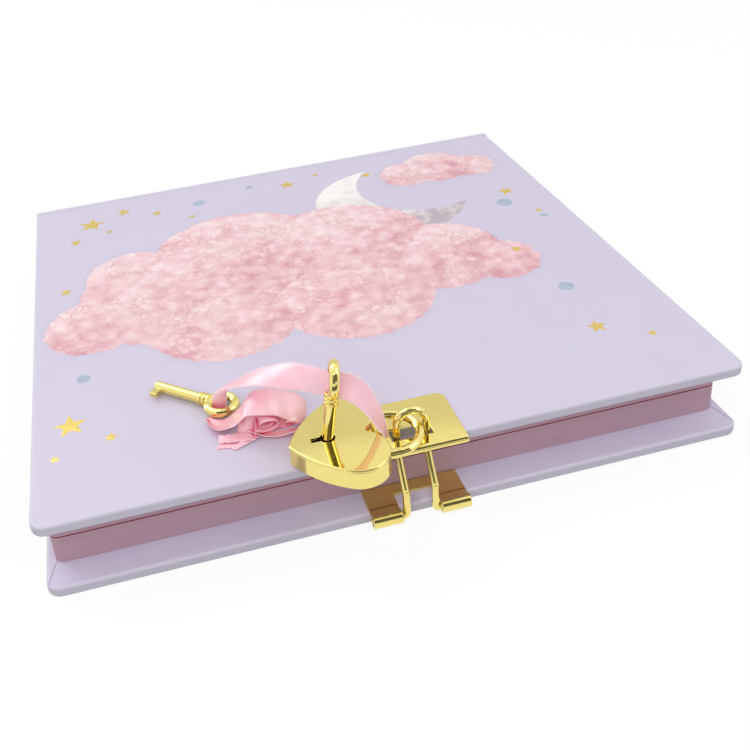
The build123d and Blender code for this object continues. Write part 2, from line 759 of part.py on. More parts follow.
# Two ends of the ribbon, flat on the cover, each cut to a fishtail
tail_corner = tail_width / 2 * sin(radians(tail_fan))
tail_root = (bunch_x - bunch_half_width - ribbon_gap - tail_corner, bunch_y - tail_offset)
with BuildPart() as ribbon_tails:
    for layer, fan, length in ((0, 0, tail_length), (1, tail_fan, short_tail_length)):
        layer_z = bunch_base_z + layer * (ribbon_thickness + ribbon_gap)
        tail_heading = (-cos(radians(fan)), -sin(radians(fan)), 0)
        with BuildSketch(Plane(origin=(*tail_root, layer_z), x_dir=tail_heading, z_dir=(0, 0, 1))):
            with BuildLine():
                Polyline(
                    (0, tail_width / 2),
                    (length, tail_width / 2),
                    (length - tail_notch, 0),
                    (length, -tail_width / 2),
                    (0, -tail_width / 2),
                    close=True,
                )
            make_face()
        extrude(amount=ribbon_thickness)

save(ribbon_band, "ribbon_band")
save(ribbon_bunch, "ribbon_bunch")
save(ribbon_tails, "ribbon_tails")
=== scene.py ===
import json
import math

import bmesh
import bpy
from mathutils import Matrix, Vector


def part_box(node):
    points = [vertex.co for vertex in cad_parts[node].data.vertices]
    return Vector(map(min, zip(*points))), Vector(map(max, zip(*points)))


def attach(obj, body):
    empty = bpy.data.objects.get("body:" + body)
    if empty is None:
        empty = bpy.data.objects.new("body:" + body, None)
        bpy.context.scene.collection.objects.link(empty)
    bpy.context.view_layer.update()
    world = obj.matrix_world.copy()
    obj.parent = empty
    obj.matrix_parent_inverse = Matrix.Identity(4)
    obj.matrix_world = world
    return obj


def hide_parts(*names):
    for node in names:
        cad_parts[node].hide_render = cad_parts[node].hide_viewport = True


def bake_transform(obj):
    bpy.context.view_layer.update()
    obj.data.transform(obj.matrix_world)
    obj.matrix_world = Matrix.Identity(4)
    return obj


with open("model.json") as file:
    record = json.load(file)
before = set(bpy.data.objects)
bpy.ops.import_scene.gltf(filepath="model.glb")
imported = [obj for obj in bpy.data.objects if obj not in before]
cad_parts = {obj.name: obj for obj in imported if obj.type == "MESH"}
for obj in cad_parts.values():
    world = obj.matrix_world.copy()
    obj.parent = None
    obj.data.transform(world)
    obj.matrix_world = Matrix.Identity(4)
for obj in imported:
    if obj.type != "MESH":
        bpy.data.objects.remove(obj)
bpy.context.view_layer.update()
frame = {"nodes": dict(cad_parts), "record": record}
nodes = frame["nodes"]
scene = bpy.context.scene
scene.view_settings.view_transform = "Standard"
MM = 0.001


# Camera, solved from the corners of the covers
CAMERA_PLACE = (-0.053565, -0.259909, 0.177180)
CAMERA_RIGHT = Vector((0.970425, -0.222349, -0.094001))
CAMERA_UP = Vector((0.182256, 0.419485, 0.889278))
CAMERA_FORWARD = Vector((0.158298, 0.880110, -0.447603))
camera_data = bpy.data.cameras.new("camera")
camera_data.sensor_width = 36.0
camera_data.lens = 46.62
camera_data.shift_x = 0.1073
camera_data.shift_y = -0.2153
camera_data.clip_start = 0.01
camera = bpy.data.objects.new("camera", camera_data)
scene.collection.objects.link(camera)
camera_turn = Matrix((CAMERA_RIGHT, CAMERA_UP, -CAMERA_FORWARD)).transposed().to_4x4()
camera.matrix_world = Matrix.Translation(CAMERA_PLACE) @ camera_turn
scene.camera = camera


# Material graphs
def rgb(r, g, b):
    """A screen colour of 0 to 255 as the linear colour that shaders take."""
    parts = [v / 255 for v in (r, g, b)]
    return tuple(p / 12.92 if p <= 0.04045 else ((p + 0.055) / 1.055) ** 2.4 for p in parts) + (1.0,)


class Graph:
    """Short forms for building one material's nodes."""

    def __init__(self, name):
        self.material = bpy.data.materials.new(name)
        self.material.use_nodes = True
        self.tree = self.material.node_tree
        self.shader = self.tree.nodes["Principled BSDF"]
        self.output = self.tree.nodes["Material Output"]

    def node(self, kind, **settings):
        made = self.tree.nodes.new("ShaderNode" + kind)
        for key, value in settings.items():
            setattr(made, key, value)
        return made

    def put(self, socket, value):
        """Links a socket to another socket, or sets its own value."""
        if isinstance(value, bpy.types.NodeSocket):
            self.tree.links.new(value, socket)
        elif value is not None:
            socket.default_value = value

    def math(self, operation, *values):
        made = self.node("Math", operation=operation)
        for socket, value in zip(made.inputs, values):
            self.put(socket, value)
        return made.outputs[0]

    def vector(self, operation, *values):
        made = self.node("VectorMath", operation=operation)
        for socket, value in zip(made.inputs, values):
            self.put(socket, value)
        return made.outputs["Value" if operation in ("LENGTH", "DOT_PRODUCT") else "Vector"]

    def axes(self, vector):
        """The outputs X, Y and Z of a vector."""
        made = self.node("SeparateXYZ")
        self.put(made.inputs[0], vector)
        return made.outputs

    def mix(self, share, first, second):
        made = self.node("Mix", data_type="RGBA")
        self.put(made.inputs[0], share)
        self.put(made.inputs[6], first)
        self.put(made.inputs[7], second)
        return made.outputs[2]

    def ramp(self, share, *stops):
        made = self.node("ValToRGB")
        elements = made.color_ramp.elements
        while len(elements) < len(stops):
            elements.new(1.0)
        for element, (place, colour) in zip(elements, stops):
            element.position = place
            element.color = colour
        self.put(made.inputs[0], share)
        return made.outputs[0]

    def span(self, value, low, high, to_low=0.0, to_high=1.0):
        made = self.node("MapRange")
        for socket, number in zip(made.inputs, (value, low, high, to_low, to_high)):
            self.put(socket, number)
        return made.outputs[0]

    def coords(self, kind="Object"):
        return self.node("TexCoord").outputs[kind]

    def scaled(self, vector, scale):
        made = self.node("Mapping")
        self.put(made.inputs["Vector"], vector)
        made.inputs["Scale"].default_value = scale
        return made.outputs[0]

    def noise(self, vector, scale, detail=3.0, roughness=0.5, output=0):
        made = self.node("TexNoise")
        self.put(made.inputs["Vector"], vector)
        made.inputs["Scale"].default_value = scale
        made.inputs["Detail"].default_value = detail
        made.inputs["Roughness"].default_value = roughness
        return made.outputs[output]

    def voronoi(self, vector, scale, feature):
        made = self.node("TexVoronoi", feature=feature)
        self.put(made.inputs["Vector"], vector)
        made.inputs["Scale"].default_value = scale
        return made

    def bump(self, height, distance, strength=1.0, under=None):
        made = self.node("Bump")
        self.put(made.inputs["Height"], height)
        made.inputs["Distance"].default_value = distance
        self.put(made.inputs["Strength"], strength)
        self.put(made.inputs["Normal"], under)
        return made.outputs[0]

    def finish(self, **sockets):
        """Fills the shader's sockets, named as in base_color, and returns the material."""
        for name, value in sockets.items():
            self.put(self.shader.inputs[name.replace("_", " ").title().replace("Ior", "IOR")], value)
        return self.material


# Cover paper
LAVENDER = rgb(211, 204, 224)
LAVENDER_MOTTLE = rgb(194, 184, 210)
# Grey of the boards' thin sides: partly wear, partly painted shade
RUBBED_AND_SHADED_GREY = rgb(186, 182, 194)
# Painted shade along the folds of the turned-in paper
FOLD_SHADE_GREY = rgb(140, 132, 158)
CORNER_FOLD = 14 * MM
FOLD_LINE = 0.1 * MM
FOLD_FADE = 0.3 * MM
PRINTED_ABOVE = 21.6 * MM


def rubbed_and_shaded_edge(graph, colour):
    """Greyer paper on the thin sides of a board: partly wear where it is stretched and handled, partly
    painted shade on the sides that do not face up.
    """
    facing_up = graph.axes(graph.coords("Normal"))["Z"]
    side = graph.span(graph.math("ABSOLUTE", facing_up), 0.2, 0.9, 0.75, 0.0)
    return graph.mix(side, colour, RUBBED_AND_SHADED_GREY), facing_up


def mottled_lavender(graph, place):
    mottle = graph.noise(place, 90.0, 4.0)
    return graph.mix(graph.span(mottle, 0.3, 0.7, 0.0, 0.10), LAVENDER, LAVENDER_MOTTLE)


def laminated(graph, place, colour):
    """Soft lamination over a printed colour: fine grain and a slightly uneven gloss."""
    grain = graph.bump(graph.noise(place, 2600.0, 2.0), 0.02 * MM, 0.25)
    rough = graph.span(graph.noise(place, 320.0), 0.2, 0.8, 0.40, 0.50)
    return graph.finish(base_color=colour, roughness=rough, normal=grain)


def corner_fold_shade(graph, place, facing_up):
    """Folds of the turned-in paper, from the board's fore corners to the corners of the leaves, drawn as
    lines of painted shade.
    """
    low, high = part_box("back_cover_wrap")
    leaf_low, leaf_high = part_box("lower_page_half")
    slope = (leaf_low.y - low.y) / (high.x - leaf_high.x)
    at = graph.axes(place)
    from_end = graph.math("SUBTRACT", high.x, graph.math("ABSOLUTE", at["X"]))
    from_fore = graph.math("SUBTRACT", at["Y"], low.y)
    on_slope = graph.math("DIVIDE", from_fore, slope)
    off_line = graph.math("ABSOLUTE", graph.math("SUBTRACT", from_end, on_slope))
    near = graph.math("LESS_THAN", graph.math("MAXIMUM", from_end, from_fore), CORNER_FOLD)
    fold = graph.math("MULTIPLY", graph.span(off_line, FOLD_LINE, FOLD_FADE, 0.6, 0.0), near)
    return graph.math("MULTIPLY", fold, graph.math("GREATER_THAN", facing_up, 0.8))


def cover_paper():
    """Plain lavender paper of the back cover and spine, with painted shade along its corner folds."""
    graph = Graph("cover_paper")
    place = graph.coords()
    colour, facing_up = rubbed_and_shaded_edge(graph, mottled_lavender(graph, place))
    colour = graph.mix(corner_fold_shade(graph, place, facing_up), colour, FOLD_SHADE_GREY)
    return laminated(graph, place, colour)


# The print on the front cover, as circles: x, y and radius in millimetres
CLOUDS = (
    (-48, 8, 27), (-20, 24, 31), (14, 18, 29), (40, 0, 21), (-70, -2, 15), (-32, -10, 24), (8, -12, 25),
    (57, -10, 12), (-56, 24, 16), (50, 62, 10), (62, 64, 13), (75, 60, 9))
MOON = ((36, 42, 27),)
MOON_BITE = ((50, 52, 23),)
DROPS = ((-30, 68, 2.6), (72, 24, 3.0), (66, -34, 2.6), (-76, -30, 2.2), (-10, 74, 1.5), (80, 10, 1.6))
PRINT_LIGHT = (-0.35, 0.94, 0.0)
RAGGED = 3.4 * MM


def print_circles(graph, place, circles):
    """Height and shading of soft puffs drawn as overlapping circles."""
    height, shade = None, None
    for x, y, radius in circles:
        away = graph.vector("SUBTRACT", place, (x * MM, y * MM, 0.0))
        flat = graph.vector("MULTIPLY", away, (1.0, 1.0, 0.0))
        ratio = graph.math("DIVIDE", graph.vector("LENGTH", flat), radius * MM)
        dome = graph.math("SUBTRACT", 1.0, graph.math("POWER", ratio, 2.0))
        rise = graph.math("MULTIPLY", dome, radius)
        lit = graph.math("DIVIDE", graph.vector("DOT_PRODUCT", flat, PRINT_LIGHT), radius * MM)
        if height is None:
            height, shade = rise, lit
            continue
        nearer = graph.math("GREATER_THAN", rise, height)
        gain = graph.math("MULTIPLY", nearer, graph.math("SUBTRACT", lit, shade))
        shade = graph.math("ADD", shade, gain)
        height = graph.math("SMOOTH_MAX", rise, height, 0.6)
    return height, shade


def woolly_pink(graph, place, printed, shade):
    """Pink wool: tufts, curls, paler patches and dark lines between the curls."""
    tufts = graph.voronoi(printed, 260.0, "SMOOTH_F1")
    tufts.inputs["Smoothness"].default_value = 1.0
    tuft = graph.span(tufts.outputs["Distance"], 0.05, 0.8, 0.8, 0.15)
    curl = graph.span(graph.noise(printed, 340.0, 4.0, 0.55), 0.3, 0.7, -0.16, 0.16)
    wool = graph.math("ADD", tuft, curl)
    lit_wool = graph.math("ADD", wool, graph.span(shade, -0.9, 0.9, -0.22, 0.18))
    pink = graph.ramp(
        lit_wool, (0.0, rgb(212, 150, 164)), (0.3, rgb(231, 184, 192)), (0.6, rgb(243, 207, 212)),
        (1.0, rgb(251, 232, 232)))
    patch = graph.noise(place, 45.0, 3.0)
    pink = graph.mix(graph.span(patch, 0.48, 0.68, 0.0, 0.6), pink, rgb(246, 228, 227))
    cells = graph.voronoi(printed, 380.0, "DISTANCE_TO_EDGE")
    crack = graph.span(cells.outputs["Distance"], 0.0, 0.15, 0.45, 0.0)
    curly = graph.span(graph.noise(place, 95.0, 3.0), 0.46, 0.60)
    return graph.mix(graph.math("MULTIPLY", crack, curly), pink, rgb(206, 118, 138))


def front_cover_paper():
    """Lavender cover paper printed with woolly pink clouds, a cream moon and grey-blue drops."""
    graph = Graph("front_cover_paper")
    place = graph.coords()
    wobble = graph.noise(place, 420.0, 4.0, output="Color")
    printed = graph.vector("MULTIPLY_ADD", wobble, (RAGGED, RAGGED, 0.0), place)
    cloud_height, cloud_shade = print_circles(graph, printed, CLOUDS)
    cloud_in = graph.span(cloud_height, -0.5, 0.6)
    cloud_shadow = graph.span(cloud_height, -5.0, 0.0, 0.0, 0.22)
    pink = woolly_pink(graph, place, printed, cloud_shade)
    moon_height, moon_shade = print_circles(graph, place, MOON)
    bite_height, _ = print_circles(graph, place, MOON_BITE)
    moon_left = graph.span(bite_height, 0.0, 0.6, 1.0, 0.0)
    moon_in = graph.math("MULTIPLY", graph.span(moon_height, 0.0, 0.6), moon_left)
    down = graph.noise(place, 180.0, 5.0, 0.6)
    moon_tone = graph.math("ADD", down, graph.span(moon_shade, -1.0, 1.0, -0.3, 0.3))
    cream = graph.ramp(
        moon_tone, (0.2, rgb(186, 176, 184)), (0.45, rgb(228, 219, 220)), (0.75, rgb(250, 246, 243)))
    drop_height, _ = print_circles(graph, place, DROPS)
    drop_in = graph.span(drop_height, 0.0, 0.9, 0.0, 0.85)
    grey_blue = graph.ramp(down, (0.3, rgb(143, 163, 184)), (0.7, rgb(178, 194, 210)))
    ground = graph.mix(cloud_shadow, mottled_lavender(graph, place), rgb(190, 176, 205))
    ground = graph.mix(drop_in, ground, grey_blue)
    ground = graph.mix(moon_in, ground, cream)
    ground = graph.mix(cloud_in, ground, pink)
    on_top = graph.math("GREATER_THAN", graph.axes(place)["Z"], PRINTED_ABOVE)
    colour, _ = rubbed_and_shaded_edge(graph, graph.mix(on_top, LAVENDER, ground))
    return laminated(graph, place, colour)


# Leaves, boards and lining
RULE_SPACE = 3.5 * MM
RULE_WIDTH = 0.18 * MM
RULE_START = 0.2
TINT_DEPTH = 0.6 * MM
TINT_END = 1.2 * MM
LEAVES_LOW = 3 * MM
LEAVES_HIGH = 19 * MM


def page_edges():
    """Tinted edges of the leaves, with painted shade that greys them towards the bottom, and pale ruled
    paper on the faces between them.
    """
    graph = Graph("pages")
    place = graph.coords()
    at = graph.axes(place)
    leaf = graph.noise(graph.scaled(place, (14.0, 14.0, 9000.0)), 1.0, 2.0, 0.6)
    wide = graph.noise(graph.scaled(place, (30.0, 30.0, 700.0)), 1.0, 3.0)
    edge = graph.ramp(
        leaf, (0.25, rgb(182, 138, 150)), (0.5, rgb(197, 157, 169)), (0.8, rgb(207, 174, 184)))
    edge = graph.mix(graph.span(wide, 0.3, 0.7, 0.0, 0.4), edge, rgb(191, 161, 177))
    # Painted shade: the leaves' edges grow greyer and darker towards the bottom of the block
    painted_shade_edge = graph.mix(0.3, edge, rgb(148, 130, 150))
    edge = graph.mix(graph.span(at["Z"], LEAVES_LOW, LEAVES_HIGH), painted_shade_edge, edge)
    fibre = graph.noise(place, 700.0, 4.0, 0.6)
    paper = graph.mix(fibre, rgb(248, 240, 236), rgb(236, 226, 224))
    rule = graph.math("PINGPONG", graph.math("ADD", at["X"], RULE_START), RULE_SPACE)
    inked = graph.math("LESS_THAN", rule, RULE_WIDTH)
    paper = graph.mix(graph.math("MULTIPLY", inked, 0.5), paper, rgb(196, 172, 200))
    low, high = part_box("lower_page_half")
    from_fore = graph.math("SUBTRACT", at["Y"], low.y)
    from_end = graph.math("SUBTRACT", high.x, graph.math("ABSOLUTE", at["X"]))
    rim = graph.math("MINIMUM", from_fore, from_end)
    paper = graph.mix(graph.span(rim, TINT_DEPTH, TINT_END), rgb(188, 74, 98), paper)
    facing_up = graph.axes(graph.coords("Normal"))["Z"]
    flat = graph.math("GREATER_THAN", graph.math("ABSOLUTE", facing_up), 0.7)
    bump = graph.bump(leaf, 0.06 * MM, graph.span(flat, 0.0, 1.0, 0.5, 0.05))
    return graph.finish(base_color=graph.mix(flat, edge, paper), roughness=0.75, normal=bump)


def plain_paper(name, base, dark):
    graph = Graph(name)
    place = graph.coords()
    fibre = graph.noise(graph.scaled(place, (1.0, 3.0, 3.0)), 260.0, 5.0, 0.65)
    colour = graph.mix(graph.span(fibre, 0.25, 0.75, 0.0, 0.35), base, dark)
    bump = graph.bump(graph.noise(place, 1500.0, 3.0), 0.03 * MM, 0.4)
    return graph.finish(base_color=colour, roughness=0.85, normal=bump)


def woven(name, base, dark):
    graph = Graph(name)
    place = graph.coords()
    warp = graph.node("TexWave", bands_direction="X")
    weft = graph.node("TexWave", bands_direction="Z")
    for wave in (warp, weft):
        graph.put(wave.inputs["Vector"], place)
        wave.inputs["Scale"].default_value = 420.0
        wave.inputs["Distortion"].default_value = 0.6
    weave = graph.math("MULTIPLY", warp.outputs["Fac"], weft.outputs["Fac"])
    colour = graph.mix(weave, dark, base)
    return graph.finish(base_color=colour, roughness=0.9, normal=graph.bump(weave, 0.08 * MM, 0.6))


# Metal
SOFT_EDGE = 0.35 * MM


def gold():
    """Polished gold plating, with edges softened by a bevel in the shader."""
    graph = Graph("gold")
    place = graph.coords()
    cloud = graph.noise(place, 140.0, 3.0)
    colour = graph.mix(graph.span(cloud, 0.3, 0.7), rgb(240, 221, 134), rgb(244, 226, 142))
    rough = graph.span(graph.noise(place, 900.0, 3.0), 0.3, 0.7, 0.05, 0.10)
    soft_edge = graph.node("Bevel", samples=6)
    soft_edge.inputs["Radius"].default_value = SOFT_EDGE
    scuff = graph.bump(graph.noise(place, 260.0, 2.0), 0.03 * MM, 0.15, soft_edge.outputs[0])
    return graph.finish(base_color=colour, metallic=1.0, roughness=rough, normal=scuff)


def foil():
    graph = Graph("foil")
    speck = graph.noise(graph.coords(), 2200.0, 3.0)
    colour = graph.mix(graph.span(speck, 0.3, 0.7), rgb(232, 196, 92), rgb(246, 222, 140))
    rough = graph.span(speck, 0.2, 0.8, 0.18, 0.34)
    return graph.finish(
        base_color=colour, metallic=1.0, roughness=rough, normal=graph.bump(speck, 0.01 * MM, 0.3))


def steel():
    graph = Graph("steel")
    brushed = graph.noise(graph.scaled(graph.coords(), (40.0, 900.0, 900.0)), 3.0, 3.0)
    colour = graph.mix(brushed, rgb(150, 150, 152), rgb(205, 205, 206))
    rough = graph.span(brushed, 0.2, 0.8, 0.28, 0.42)
    return graph.finish(
        base_color=colour, metallic=1.0, roughness=rough, normal=graph.bump(brushed, 0.02 * MM, 0.3))


# Ribbon materials
# Reach of the painted shade in the ribbon's hollows
HOLLOW_SHADE_REACH = 3.5 * MM


def satin():
    """Woven satin: threads across the ribbon, slow paler patches of pink that are partly a painted sheen,
    and deeper pink painted as shade in its hollows.
    """
    graph = Graph("ribbon_satin")
    strip = graph.coords("UV")
    thread = graph.noise(graph.scaled(strip, (9000.0, 300.0, 1.0)), 1.0, 2.0, 0.6)
    slow_tone_and_sheen = graph.noise(graph.coords(), 160.0, 3.0)
    colour = graph.ramp(thread, (0.3, rgb(255, 184, 200)), (0.7, rgb(255, 198, 211)))
    # Paler patches at random: partly tone of the satin, partly a painted sheen
    colour = graph.mix(graph.span(slow_tone_and_sheen, 0.35, 0.65, 0.0, 0.6), colour, rgb(255, 218, 227))
    # Painted shade: deeper pink where ambient occlusion finds hollows and folds
    hollow_occlusion = graph.node("AmbientOcclusion", samples=8)
    hollow_occlusion.inputs["Distance"].default_value = HOLLOW_SHADE_REACH
    painted_hollow_shade = graph.span(hollow_occlusion.outputs["AO"], 0.3, 0.75, 0.85, 0.0)
    colour = graph.mix(painted_hollow_shade, colour, rgb(246, 104, 142))
    return graph.finish(
        base_color=colour, roughness=0.28, specular_ior_level=1.0, normal=graph.bump(thread, 0.03 * MM, 0.3),
        sheen_weight=0.1, sheen_roughness=0.35, sheen_tint=rgb(255, 240, 242),
        subsurface_weight=0.05, subsurface_radius=(0.002, 0.001, 0.0012), subsurface_scale=1.0)


def picot_thread():
    """Paler thread of the ribbon's looped edges."""
    graph = Graph("picot_thread")
    fibre = graph.noise(graph.coords(), 5000.0, 3.0)
    colour = graph.mix(fibre, rgb(255, 224, 231), rgb(255, 242, 245))
    bump = graph.bump(fibre, 0.02 * MM, 0.4)
    return graph.finish(base_color=colour, roughness=0.5, normal=bump, sheen_weight=0.3)


# Materials on the CAD nodes, by their material slots
def dress(target, material):
    target.data.materials.clear()
    target.data.materials.append(material)


SATIN = satin()
finishes = {
    "cover_paper": cover_paper(),
    "end_paper": plain_paper("end_paper", rgb(246, 228, 232), rgb(232, 202, 212)),
    "grey_board": plain_paper("grey_board", rgb(168, 163, 156), rgb(124, 118, 112)),
    "pages": page_edges(),
    "lining": woven("lining", rgb(238, 234, 226), rgb(196, 188, 178)),
    "gold": gold(),
    "steel": steel(),
    "ribbon": SATIN,
}
for part in frame["record"]["subparts"]:
    dress(nodes[part["node"]], finishes[part["material_slot"]])
dress(nodes["front_cover_wrap"], front_cover_paper())


# New pieces
def as_mesh(name, build):
    """A mesh from a bmesh, which is freed."""
    mesh = bpy.data.meshes.new(name)
    build.to_mesh(mesh)
    build.free()
    return mesh


def add_object(name, mesh, material, body, bend=None, smooth=True):
    """A new piece that rides on a body, or, when given bend points, stays unparented with its placement
    baked into its mesh.
    """
    made = bpy.data.objects.new(name, mesh)
    scene.collection.objects.link(made)
    mesh.materials.append(material)
    for polygon in mesh.polygons:
        polygon.use_smooth = smooth
    if bend:
        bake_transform(made)
    else:
        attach(made, body)
    return made


# Ribbon: strips between two edge lines, whose points are in millimetres
ACROSS = 8
RIBBON_WIDTH = 7 * MM
RIBBON_THICKNESS = 0.22 * MM
RIBBON_REST = 22.15 * MM
RIPPLE_TURNS = 9.0
RIPPLE_SLANT = 2.2
FOLD_SLANT = 0.6
FOLD_EVEN = 0.6
FOLD_LEAN = 0.4
BEAD_PITCH = 0.8 * MM
BEAD_RADIUS = 0.23 * MM
beads = {}


def through(points, count):
    """Places along a smooth line through points given in millimetres."""
    padded = [points[0], *points, points[-1]]
    line = []
    for step in range(count):
        at = (len(points) - 1) * step / (count - 1)
        i = min(int(at), len(points) - 2)
        t = at - i
        a, b, c, d = (Vector(p) * MM for p in padded[i:i + 4])
        square = (a * 2 - b * 5 + c * 4 - d) * t ** 2
        cube = (b * 3 - a - c * 3 + d) * t ** 3
        line.append((b * 2 + (c - a) * t + square + cube) / 2)
    return line


def between(values, share):
    """The value at a share of the way along a list."""
    place = share * (len(values) - 1)
    stop = min(int(place), len(values) - 2)
    return values[stop] + (values[stop + 1] - values[stop]) * (place - stop)


def ribbon_strip(name, first, second, node, count=90, bow=(0.0, 0.0), ripple=0.0, folds=(0.0, 0.0),
                 bend=None, picot=True):
    """A strip with a belly, rippled edges and cross folds that stands for a stretch of the CAD ribbon."""
    edges = through(first, count), through(second, count)
    middle = [(p + q) / 2 for p, q in zip(*edges)]
    fold_height, fold_count = folds
    build = bmesh.new()
    uv = build.loops.layers.uv.new("strip")
    rows, runs = [], []
    run = 0.0
    for i, (low, high) in enumerate(zip(*edges)):
        share = i / (count - 1)
        run += (middle[i] - middle[max(i - 1, 0)]).length
        ahead = (middle[min(i + 1, count - 1)] - middle[max(i - 1, 0)]).normalized()
        face = ahead.cross(high - low).normalized()
        belly = between(bow, share)
        row = []
        for j in range(ACROSS + 1):
            t = 2 * j / ACROSS - 1
            wave = math.sin(RIPPLE_TURNS * share + RIPPLE_SLANT * t)
            fold = math.sin(2 * math.pi * fold_count * share + FOLD_SLANT * t)
            lift = belly * (1 - t * t) + ripple * wave * abs(t)
            lift += fold_height * fold * (FOLD_EVEN + FOLD_LEAN * t)
            point = low.lerp(high, j / ACROSS) + face * (lift * MM)
            point.z = max(point.z, RIBBON_REST)
            row.append(build.verts.new(point))
        rows.append(row)
        runs.append(run)
    for i in range(count - 1):
        for j in range(ACROSS):
            corners = ((i, j), (i, j + 1), (i + 1, j + 1), (i + 1, j))
            quad = build.faces.new([rows[a][b] for a, b in corners])
            for loop, (a, b) in zip(quad.loops, corners):
                loop[uv].uv = (runs[a], (b / ACROSS - 0.5) * RIBBON_WIDTH)
    next_bead = 0.0
    for row, run in zip(rows, runs):
        if picot and run >= next_bead:
            next_bead += BEAD_PITCH
            beads.setdefault(bend, []).extend((row[0].co.copy(), row[-1].co.copy()))
    made = add_object(name, as_mesh(name, build), SATIN, "padlock", bend)
    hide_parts(node)
    solid = made.modifiers.new("thickness", "SOLIDIFY")
    solid.thickness = RIBBON_THICKNESS
    solid.offset = 0.0
    smooth = made.modifiers.new("smooth", "SUBSURF")
    smooth.levels = 1
    smooth.render_levels = 1


# Where the two stretches at the key begin to follow it, and where they follow it fully
OVER_CLASP_BEND = ((-7.0, -82.5, 31.0), (-14.5, -83.5, 41.5))
ARCH_BEND = ((-36.0, -63.0, 34.0), (-20.5, -81.5, 43.0))
ribbon_strip(
    "ribbon_over_clasp",
    ((-17.2, -83.7, 46.1), (-15.2, -83.2, 45.4), (-13.0, -82.7, 44.2), (-11.1, -82.3, 42.6),
     (-9.4, -82.1, 40.5), (-7.9, -82.0, 37.9), (-6.8, -82.1, 35.1), (-5.9, -82.2, 31.9),
     (-5.2, -82.3, 28.4), (-4.9, -82.3, 25.2), (-4.8, -82.3, 23.2)),
    ((-17.8, -84.3, 40.4), (-16.5, -84.8, 39.8), (-15.2, -85.3, 39.2), (-13.6, -85.7, 38.1),
     (-12.3, -85.9, 36.7), (-11.0, -86.0, 34.9), (-9.7, -85.9, 32.8), (-8.6, -85.8, 30.6),
     (-7.6, -85.7, 28.4), (-6.6, -85.6, 26.4), (-5.9, -85.4, 23.6)),
    "ribbon_band", bow=(0.3, 0.3), ripple=0.1, bend=OVER_CLASP_BEND)
ribbon_strip(
    "ribbon_arch",
    ((-17.0, -84.4, 46.2), (-19.6, -80.4, 45.7), (-21.5, -77.1, 44.9), (-23.7, -73.5, 43.7),
     (-26.0, -70.2, 41.9), (-28.5, -67.3, 39.8), (-31.7, -64.0, 37.2), (-35.1, -60.6, 33.7),
     (-38.7, -57.4, 30.1), (-41.5, -56.6, 28.2), (-43.1, -56.4, 26.5), (-43.4, -56.6, 24.4),
     (-43.4, -56.8, 22.5)),
    ((-17.6, -85.0, 40.6), (-20.6, -82.2, 39.9), (-22.8, -80.3, 39.8), (-25.1, -78.1, 39.3),
     (-27.6, -75.6, 38.5), (-29.9, -72.9, 37.8), (-32.8, -69.4, 36.3), (-35.9, -65.8, 34.3),
     (-38.4, -62.2, 31.9), (-39.4, -59.8, 29.8), (-39.7, -58.0, 26.9), (-40.1, -57.6, 24.3),
     (-40.4, -57.4, 22.5)),
    "ribbon_band", count=130, bow=(0.3, 0.3), ripple=0.1, bend=ARCH_BEND)
ribbon_strip(
    "ribbon_swag",
    ((-43.7, -59.6, 23.0), (-44.1, -60.4, 22.9), (-43.0, -61.2, 22.8), (-41.3, -61.8, 23.0),
     (-39.4, -62.8, 24.5), (-37.2, -63.6, 26.9), (-35.5, -64.2, 29.5), (-33.7, -64.8, 31.8),
     (-31.1, -65.0, 32.1), (-27.5, -65.0, 31.0), (-23.9, -65.0, 29.3), (-21.3, -65.4, 26.9),
     (-20.6, -64.8, 24.6)),
    ((-45.2, -61.2, 23.6), (-45.8, -62.6, 24.0), (-45.2, -65.6, 24.3), (-42.9, -68.0, 24.5),
     (-40.4, -69.0, 25.3), (-38.2, -70.4, 28.0), (-35.8, -71.2, 29.3), (-33.2, -71.6, 29.2),
     (-29.8, -71.8, 28.1), (-27.2, -71.6, 26.4), (-25.0, -71.0, 24.0), (-23.4, -69.8, 22.4),
     (-22.0, -68.0, 22.3)),
    "ribbon_bunch", count=140, bow=(1.2, 1.2, 0.2, -0.6, -0.6, -0.5, -0.3), folds=(0.22, 5.5), picot=False)
ribbon_strip(
    "ribbon_inner_fold",
    ((-38.2, -66.6, 26.0), (-35.0, -66.6, 29.0), (-30.5, -66.6, 29.4), (-26.0, -66.6, 27.8),
     (-22.6, -66.0, 25.2)),
    ((-39.4, -69.0, 22.4), (-35.0, -69.6, 22.3), (-30.0, -69.8, 22.3), (-25.0, -69.4, 22.3),
     (-22.4, -67.6, 22.3)),
    "ribbon_bunch", count=60, folds=(0.3, 4.0), picot=False)
ribbon_strip(
    "ribbon_lower_fold",
    ((-22.4, -70.0, 22.4), (-25.1, -70.4, 22.4), (-27.4, -70.4, 22.3), (-29.6, -70.2, 22.3),
     (-31.6, -69.8, 22.3), (-33.6, -69.0, 22.4), (-35.4, -68.4, 22.6), (-37.4, -67.6, 22.8)),
    ((-23.0, -72.6, 23.9), (-25.1, -73.3, 23.7), (-27.1, -73.2, 23.3), (-29.4, -73.0, 22.9),
     (-31.4, -72.5, 22.8), (-33.4, -71.8, 23.1), (-34.9, -70.9, 23.6), (-36.6, -69.7, 24.0)),
    "ribbon_bunch", count=70, bow=(-0.3, -0.3), ripple=0.1)

ROLL_BACK = Vector((0.05, 0.90, 0.43))
ROLL_RISE = Vector((0.0, -0.43, 0.90))
ROLL_PULL = 0.9
ROLL_TAPER = 0.8
ROLL_EASE = 0.8
ROLL_STEPS = 12


